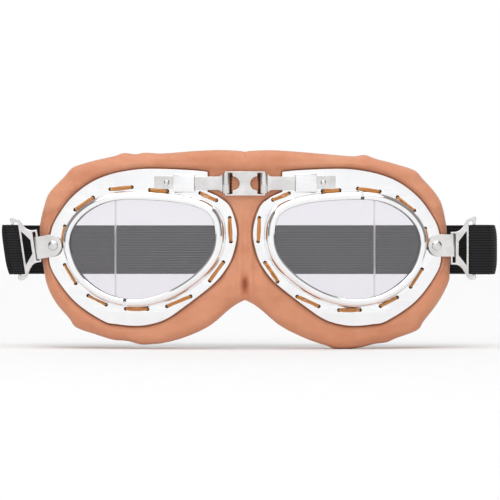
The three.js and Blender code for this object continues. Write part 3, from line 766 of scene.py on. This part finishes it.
# Middle of an eye, that the sections of the soft pieces fan out from.
CENTRE = np.array([50.0, 52.0])
TOP, NOTCH = MASK_POINTS["left"][0][1], MASK_POINTS["left"][-1][1]
NOSE_LINE = np.stack([np.zeros(60), np.linspace(NOTCH, TOP, 60)], axis=1)
HALF_LOOP = {side: np.vstack([half, NOSE_LINE[1:-1]]) for side, half in HALF.items()}


def projected(loop, v):
    """An eyepiece loop as it lies over the mask: distance from the middle, height."""
    return np.stack([HINGE.x + loop[:, 0] * COS - v * SIN, loop[:, 1]], axis=1)


FLANGE_PLAN = projected(resample(FLANGE_LOOP, 400), FLANGE_BACK)


def mask_angles(count):
    corners = [math.atan2(z - CENTRE[1], -CENTRE[0]) for z in (TOP, NOTCH)]
    angles = np.linspace(-math.pi, math.pi, count, endpoint=False)
    for corner in corners:
        angles[np.argmin(np.abs(angles - corner))] = corner
    return np.sort(angles)


def noise_over(x, z, scale_x, scale_z, layer):
    values = [noise.noise(Vector((a * scale_x, b * scale_z, layer))) for a, b in zip(x.ravel(), z.ravel())]
    return np.array(values).reshape(x.shape)


def hump(value, middle, width):
    return np.exp(-((value - middle) / width) ** 2)


def folds(x, z, rim):
    """Soft folds: upright on the nose, a pinch above the notch, and puckers along the outer edge."""
    nose_depth, pinch_depth, shoulder_rise, pucker_depth, wrinkle_depth = 0.5, 5.5, 1.3, 1.1, 0.45
    nose = nose_depth * np.cos(x * 1.15) * hump(x, 0, 7.0) * smooth(28, 42, z) * (1 - smooth(62, 75, z))
    pinch = pinch_depth * hump(x, 0, 1.2) * hump(z, 31.5, 3.8)
    shoulders = shoulder_rise * hump(x, 3.4, 1.7) * hump(z, 31, 5.5)
    puckers = pucker_depth * noise_over(x, z, 0.055, 0.11, 3.1)
    wrinkles = wrinkle_depth * noise_over(x, z, 0.16, 0.3, 8.7)
    return nose + pinch - shoulders + rim * (puckers + wrinkles)


def mask_surface(side, x, z, over_flange):
    """Depth of the leather's front: pressed flat under the flange, swelling past it, rounded at the edge."""
    swell_height, tuck_depth, tab_relief, edge_radius, roundness = 1.7, 0.9, 0.95, 4.6, 0.95
    beyond = smooth(0.3, 3.0, over_flange)
    by_hinge = (1 - smooth(20, 30, x)) * smooth(70, 74, z) * (1 - smooth(88.5, 92, z))
    from_rivet = np.hypot(x - RIVET.x, z - RIVET_HEIGHT)
    by_tab = (1 - smooth(14.5, 19, from_rivet)) * smooth(1.0, 3.0, over_flange)
    free = beyond * (1 - by_hinge) * (1 - by_tab)
    swell = swell_height * free * smooth(5, 11, x + 30 * smooth(86, 92, z))
    tuck = tuck_depth * hump(over_flange, 0.1, 0.6)
    pressed = tab_relief * by_tab
    inside = np.clip(1 - edge_distance(side, x, z) / edge_radius, 0, 1)
    roll = edge_radius * roundness * (1 - np.sqrt(1 - inside ** 2))
    return front_depth(x, LEATHER_FRONT) - swell + tuck + roll + pressed + folds(x, z, free)


def ring_piece(name, side, stations):
    """Skins closed sections of (x, y, z) round the lens of one side."""
    rings = [[at(SIDES[side] * x, y, z) for x, y, z in ring] for ring in stations]
    return swept(name, rings, True, 50)


def front_radii(inner, flange_edge, outer):
    """Distances from the eye's centre that the front is drawn at, closest beside the flange's edge."""
    tucked = np.clip(flange_edge, inner + 1, outer - 0.6)
    near = inner[:, None] + (tucked - 0.8 - inner)[:, None] * np.linspace(0, 1, 5)
    pressed = tucked[:, None] + np.linspace(-0.45, 1.3, 6) * np.minimum((outer - tucked) / 3, 1)[:, None]
    start = pressed[:, -1]
    far = start[:, None] + (outer - start)[:, None] * (1 - (1 - np.linspace(0, 1, 26)[1:]) ** 1.3)
    return np.hstack([near, pressed, far])


def leather_section(front, cos, sin, tunnel):
    """One closed section: over the front, round the outer edge, along the back and out to the lens again."""
    ring = list(front)
    thickness, bulge_out, draw_in, seam = 1.2, 0.9, 3.0, 0.02
    (lip_x, lip_y, lip_z), (edge_x, edge_y, edge_z) = front[0], front[-1]
    rear = back_depth(edge_x) - LEATHER_BACK
    swelling = smooth(seam, 1.5, edge_x)
    on_rim = edge_x > seam
    for t in np.linspace(0, 1, 10)[1:]:
        bulge = (bulge_out * math.sin(math.pi * t) - draw_in * t * t) * swelling
        ring.append((edge_x + bulge * cos * on_rim, edge_y + (rear - edge_y) * t,
                     max(edge_z + bulge * sin, 0.0)))
    back_x, _, back_z = ring[-1]
    for t in np.linspace(0, 1, 8)[1:]:
        x = back_x + (CENTRE[0] + tunnel * cos - back_x) * t
        z = back_z + (CENTRE[1] + tunnel * sin - back_z) * t
        ring.append((max(x, 0), back_depth(x) - LEATHER_BACK, z))
    end_x, end_y, end_z = ring[-1]
    for t in np.linspace(0, 1, 7)[1:]:
        ring.append((end_x + (lip_x - end_x) * t, end_y + (lip_y + thickness - end_y) * t,
                     end_z + (lip_z - end_z) * t))
    return ring


def mask_leather(side):
    """The padded leather of one eye, from the lens opening out to the silhouette."""
    angles = mask_angles(260)
    cos, sin = np.cos(angles), np.sin(angles)
    outer = polar(HALF_LOOP[side], CENTRE, angles)
    inner = polar(projected(offset(LENS_LOOP, 2.2), 2.0), CENTRE, angles)
    flange_edge = polar(FLANGE_PLAN, CENTRE, angles)
    tunnel = polar(projected(offset(LENS_LOOP, LEATHER_MARGIN), TUNNEL_DEPTH), CENTRE, angles)
    radii = front_radii(inner, flange_edge, outer)
    x = np.maximum(CENTRE[0] + radii * cos[:, None], 0)
    z = CENTRE[1] + radii * sin[:, None]
    y = mask_surface(side, x, z, radii - flange_edge[:, None])
    sections = [leather_section(list(zip(x[i], y[i], z[i])), cos[i], sin[i], tunnel[i])
                for i in range(len(angles))]
    piece = paint(ring_piece(f"{side}_mask_leather", side, sections), LEATHER, SHADOWED)
    shade_hidden(piece)
    return piece


def shade_hidden(piece):
    """The leather behind the flange and behind the hinge pins takes the near-black material: painted shade
    for those deep gaps.
    """
    for polygon in piece.data.polygons:
        centre = polygon.center / MM
        x, height = abs(centre.x), centre.z + GROUND
        v = (centre.y - HINGE.y) * COS - (x - HINGE.x) * SIN
        radius = math.hypot(x - CENTRE[0], height - CENTRE[1])
        angle = np.array([math.atan2(height - CENTRE[1], x - CENTRE[0])])
        # Painted shade where the gaps are deep: under the flange, seen through the lace holes, and beside the
        # hinge pins.
        behind_flange = radius < polar(FLANGE_PLAN, CENTRE, angle)[0] - 0.25 and v < 6
        behind_pin = 6.3 < x < 8.2 and abs(height - GROUND) < 5.6 and centre.y < 8
        polygon.material_index = int(behind_flange or behind_pin)


def face_pad(side):
    """Soft lined cushion against the face, narrower than the leather, with a rounded section."""
    margin, half_thickness, lowest = 4.6, 1.9, 0.6
    angles = mask_angles(200)
    cos, sin = np.cos(angles), np.sin(angles)
    outer = polar(HALF_LOOP[side], CENTRE, angles)
    tunnel = polar(projected(offset(LENS_LOOP, CUSHION_MARGIN), TUNNEL_DEPTH), CENTRE, angles)
    sections = []
    for i in range(len(angles)):
        on_nose = CENTRE[0] + outer[i] * cos[i] < 0.05
        far = outer[i] - (0 if on_nose else margin)
        ring = []
        for a in np.linspace(0, 2 * math.pi, 40, endpoint=False):
            across = math.copysign(abs(math.cos(a)) ** 0.55, math.cos(a))
            deep = math.copysign(abs(math.sin(a)) ** 0.7, math.sin(a))
            radius = (far + tunnel[i]) / 2 + (far - tunnel[i]) / 2 * across
            x, z = CENTRE[0] + radius * cos[i], CENTRE[1] + radius * sin[i]
            puff = 0.25 * noise.noise(Vector((x * 0.1, z * 0.1, 5)))
            y = back_depth(max(x, 0.0)) - half_thickness + (half_thickness + puff) * deep
            ring.append((max(x, 0), y, max(z, lowest)))
        sections.append(ring)
    return paint(ring_piece(f"{side}_face_pad", side, sections), LINING)


def mask(side):
    """Both soft pieces of one eye, baked in place, with the CAD nodes that they stand for hidden."""
    covered = [f"{side}_mask_cover", f"{side}_foam_pad"] + (["nose_gusset"] if side == "right" else [])
    cuts = ((mask_leather(side), "leather", covered, 0.75),
            (face_pad(side), "lining", [f"{side}_face_lining"], 0.7))
    for piece, slot, nodes, fill in cuts:
        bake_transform(piece)
        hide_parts(*nodes)


# ---------------------------------------------------------------- side tab, buckle, strap

def side_tab(side):
    """Ear that turns on the rivet, rolled at its outer end round the buckle's bar."""
    half, reach, centre, thickness = 5.6, TAB_REACH, 1.2, 0.7
    rivet_hole, roll_radius, roll_bore = 1.5, 1.75, 1.05
    arc = [(centre - half * math.sin(a), half * math.cos(a)) for a in np.linspace(0, math.pi, 25)]
    outline = [(reach, -half), (reach, half), *arc]
    sheet = slab(f"{side}_tab_sheet", [outline[::-1], circle(0, 0, rivet_hole)], TAB_FRONT,
                 TAB_FRONT + thickness, 0.16, lambda p, v, h: hang(side, p, v, h))
    ring = [circle(reach, ROLL_DEPTH, roll_radius, 36), circle(reach, ROLL_DEPTH, roll_bore, 30)]
    roll = slab(f"{side}_tab_roll", ring, -half, half, 0.14, lambda p, h, v: hang(side, p, v, h))
    piece = join(f"{side}_side_tab_polished", [paint(sheet, SHADE_PAINTED_CHROME), paint(roll, SHADE_PAINTED_CHROME)])
    settle(piece, f"{side}_tab", "chrome", f"{side}_side_tab")


def buckle(side):
    """Flat frame, drawn outward from its inner bar, with the tab's slit, a window and the strap's slot."""
    slot_half, slit, bar_end, half_thickness = 13.7, 7.3, 12.45, 0.5
    upper = [(bar_end, slot_half), (12.9, 14.6), (12.6, 15.5), (11.6, 16), (10.2, 15.9), (9, 15.3),
             (8, 14.3), (6.9, 12.4), (5.6, 10.4), (4.2, 9), (2.4, 8.3), (0, 8.2), (-0.5, 8)]
    upper = spline(upper, False, 4)
    outline = [*upper, *[(p, -h) for p, h in upper[::-1]]]
    tab_slit = [(0.5, -slit), (2.05, -slit), (2.05, slit), (0.5, slit)]
    window = [(3.7, -3.4), (7.8, -8.6), (7.8, 8.6), (3.7, 3.4)]
    strap_slot = [(8.9, -slot_half), (11.05, -slot_half), (11.05, slot_half), (8.9, slot_half)]
    drop = DROP[side]
    loops = [outline, tab_slit, window, strap_slot]
    piece = slab(f"{side}_buckle_polished", loops, ROLL_DEPTH - half_thickness, ROLL_DEPTH + half_thickness,
                 0.3, lambda p, v, h: hang(side, p + TAB_REACH, v, h - drop))
    settle(paint(piece, SHADE_PAINTED_CHROME), f"{side}_hanger", "chrome", f"{side}_buckle")


def strap_path(side):
    """Plan of one strap half: sewn tail, round the buckle's bar, the turn, and the run behind the mask."""
    low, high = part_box(f"{side}_strap")
    reach = max(abs(low[0]), abs(high[0])) / MM - STRAP_HALF
    layer = high[1] / MM - STRAP_HALF
    bar = Vector(JOINTS[f"strap_turn_{side}"]["pos_m"]) / MM
    bar_x, bar_y = abs(bar.x), bar.y
    radius, inner_end = 1.7, -10
    front = bar_y - radius
    tail = [(bar_x + 4.5 + (reach - bar_x) * 0.35, front + 2.6), (bar_x + 3, bar_y + 1.3)]
    wrap = [(bar_x - radius * math.sin(a), bar_y + radius * math.cos(a))
            for a in np.linspace(0.1, math.pi, 8)]
    turn_x, half_depth = bar_x + LEAD, (layer - front) / 2
    turn = [(turn_x + (reach - turn_x) * math.cos(a), front + half_depth * (1 + math.sin(a)))
            for a in np.linspace(-math.pi / 2, math.pi / 2, 16)]
    run = [(x, layer) for x in np.linspace(turn_x, inner_end, 12)[1:]]
    return np.array(spline([*tail, *wrap, *turn, *run], False, 4)), bar_x, bar_y, layer


def rib_crest(share):
    """Height of the ribs across the strap's width, from 0 in a groove to 1 on a crest."""
    return np.abs(np.sin(share * RIBS * math.pi)) ** 0.7


def strap(side):
    """Ribbed elastic; near the buckle it leans with the tab, and it narrows a little where it turns."""
    path, bar_x, bar_y, layer = strap_path(side)
    low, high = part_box(f"{side}_strap")
    bottom, top = low[2] / MM + GROUND, high[2] / MM + GROUND
    half, rib_relief, selvedge, waist_depth = 0.55, 0.24, 0.2, 1.3
    spread = np.linspace(0, 1, RIBS * 4 + 1)
    relief = rib_relief * rib_crest(spread)
    heights = bottom + selvedge + (top - bottom - 2 * selvedge) * spread
    section = [(h, half + r) for h, r in zip(heights, relief)]
    section += [(h, -half - r) for h, r in zip(heights[::-1], relief)]
    along = np.gradient(path, axis=0)
    along /= np.linalg.norm(along, axis=1)[:, None]
    lean = math.tan(TILT[side])
    middle = (bottom + top) / 2
    lean_start, lean_end = bar_y + 2.35, layer - 1.5
    rings = []
    for (x, y), (dx, dy) in zip(path, along):
        share = 1 - min(max((y - lean_start) / (lean_end - lean_start), 0), 1)
        turned_out = min(max((x - bar_x - LEAD) / 6, 0), 1)
        ring = []
        for h, thick in section:
            waist = ((h - middle) / (top - middle)) ** 4
            shift = lean * (h - middle) * share - waist_depth * waist * turned_out
            ring.append(at(SIDES[side] * (x + dy * thick + shift * COS), y - dx * thick + shift * SIN, h))
        rings.append(ring)
    piece = swept(f"{side}_strap_elastic", rings, False, 70)
    mark_ribs(piece, bottom + selvedge, top - selvedge)
    settle(paint(piece, ELASTIC), f"{side}_band", "elastic", f"{side}_strap")


def mark_ribs(piece, bottom, top):
    """Stores how high each point stands between groove and crest, for the material's painted shade: dark in
    the grooves, lighter on the crests.
    """
    rib_shade = piece.data.attributes.new("rib_shade", "FLOAT", "POINT")
    for vertex, value in zip(piece.data.vertices, rib_shade.data):
        value.value = rib_crest((vertex.co.z / MM + GROUND - bottom) / (top - bottom))


def adjuster():
    """Slider of two plates with two windows each, joined by rails above and below the strap."""
    low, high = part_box("strap_adjuster")
    low, high = Vector(low) / MM, Vector(high) / MM
    x0, x1, z0, z1 = low.x, high.x, low.z + GROUND, high.z + GROUND
    middle, rail, corner, bar_half, plate, inset = (x0 + x1) / 2, 2.2, 1, 0.8, 1.15, 0.6
    outline = [(x0, z0 + corner), (x0 + corner, z0), (x1 - corner, z0), (x1, z0 + corner),
               (x1, z1 - corner), (x1 - corner, z1), (x0 + corner, z1), (x0, z1 - corner)]
    windows = [[(a, z0 + rail), (b, z0 + rail), (b, z1 - rail), (a, z1 - rail)]
               for a, b in ((x0 + rail, middle - bar_half), (middle + bar_half, x1 - rail))]
    parts = []
    for name, front, back in (("front", low.y, low.y + plate), ("back", high.y - plate, high.y)):
        parts.append(paint(slab(f"adjuster_{name}", [outline, *windows], front, back, 0.3, at), PLASTIC))
    for z, end in ((z0, z0 + rail), (z1 - rail, z1)):
        loop = [(x0 + inset, z), (x1 - inset, z), (x1 - inset, end), (x0 + inset, end)]
        parts.append(paint(slab("adjuster_rail", [loop], low.y + inset, high.y - inset, 0.25, at), PLASTIC))
    settle(join("strap_adjuster_moulded", parts), "adjuster", "plastic", "strap_adjuster")


# ---------------------------------------------------------------- stage

def area_light(name, location, target, size, power):
    data = bpy.data.lights.new(name, "AREA")
    data.shape = "RECTANGLE"
    data.size, data.size_y = size
    data.energy = power
    obj = add_object(name, data)
    obj.location = location
    obj.rotation_euler = (Vector(target) - Vector(location)).to_track_quat("-Z", "Y").to_euler()


def paper_floor():
    """White sheet with a faint fibre, far wider than the goggles."""
    material, tree, shader = new_material("paper_floor", (0.86, 0.86, 0.86), 0.9)
    fibre = texture(tree, "ShaderNodeTexNoise", 60, Detail=4)
    tint(tree, shader, fibre.outputs["Fac"], 0.3, 0.7, (0.855, 0.855, 0.855), (0.87, 0.87, 0.87))
    reach, floor_z = 6.0, -GROUND * MM
    corners = [(-reach, -reach, floor_z), (reach, -reach, floor_z), (reach, reach, floor_z),
               (-reach, reach, floor_z)]
    floor = make_object("floor", corners, [(0, 1, 2, 3)])
    paint(floor, material)


def studio_world():
    """Bright ahead and behind, with a dark ring between that the chrome mirrors at its edges."""
    world = bpy.data.worlds.new("studio_white")
    bpy.context.scene.world = world
    world.use_nodes = True
    nodes, links = world.node_tree.nodes, world.node_tree.links
    direction = nodes.new("ShaderNodeTexCoord")
    parts = nodes.new("ShaderNodeSeparateXYZ")
    shade = nodes.new("ShaderNodeValToRGB")
    band = shade.color_ramp
    for position, level in ((0.06, 1.03), (0.17, 0.9), (0.3, 0.2), (0.78, 0.3), (0.9, 1.0)):
        element = band.elements.new(position)
        element.color = (level, level, level, 1)
    band.elements.remove(band.elements[0])
    band.elements.remove(band.elements[-1])
    depth = nodes.new("ShaderNodeMapRange")
    depth.inputs["From Min"].default_value = -1
    links.new(direction.outputs["Generated"], parts.inputs["Vector"])
    links.new(parts.outputs["Y"], depth.inputs["Value"])
    links.new(depth.outputs["Result"], shade.inputs["Fac"])
    links.new(shade.outputs["Color"], nodes["Background"].inputs["Color"])


def studio():
    paper_floor()
    studio_world()
    area_light("key", (-0.35, -0.9, 0.7), (0, 0, 0), (0.5, 0.5), 0.7)
    data = bpy.data.lights.new("overhead", "SUN")
    data.energy = 2.15
    data.angle = math.radians(70)
    overhead = add_object("overhead", data)
    overhead.rotation_euler = (math.radians(12), math.radians(-5), 0)


def camera():
    """Level, long lens, a little to the right of the middle and at half the mask's height."""
    data = bpy.data.cameras.new("photo_view")
    obj = add_object("photo_view", data)
    distance, frame_width, sensor, aim_x, aim_y, height = 1.5, 0.25, 36, 0.0025, 0.012, 49.5
    data.sensor_width = sensor
    data.lens = sensor * distance / frame_width
    data.clip_end = 20
    obj.location = (aim_x, aim_y - distance, (height - GROUND) * MM)
    obj.rotation_euler = (math.pi / 2, 0, 0)
    bpy.context.scene.camera = obj


camera()
studio()
bpy.context.scene.view_settings.view_transform = "Standard"
link_plate()
for side_name in SIDES:
    for build in (flange, bezel, lens, gasket, bridge_arm, rivets, lacing, mask, side_tab, buckle, strap):
        build(side_name)
adjuster()
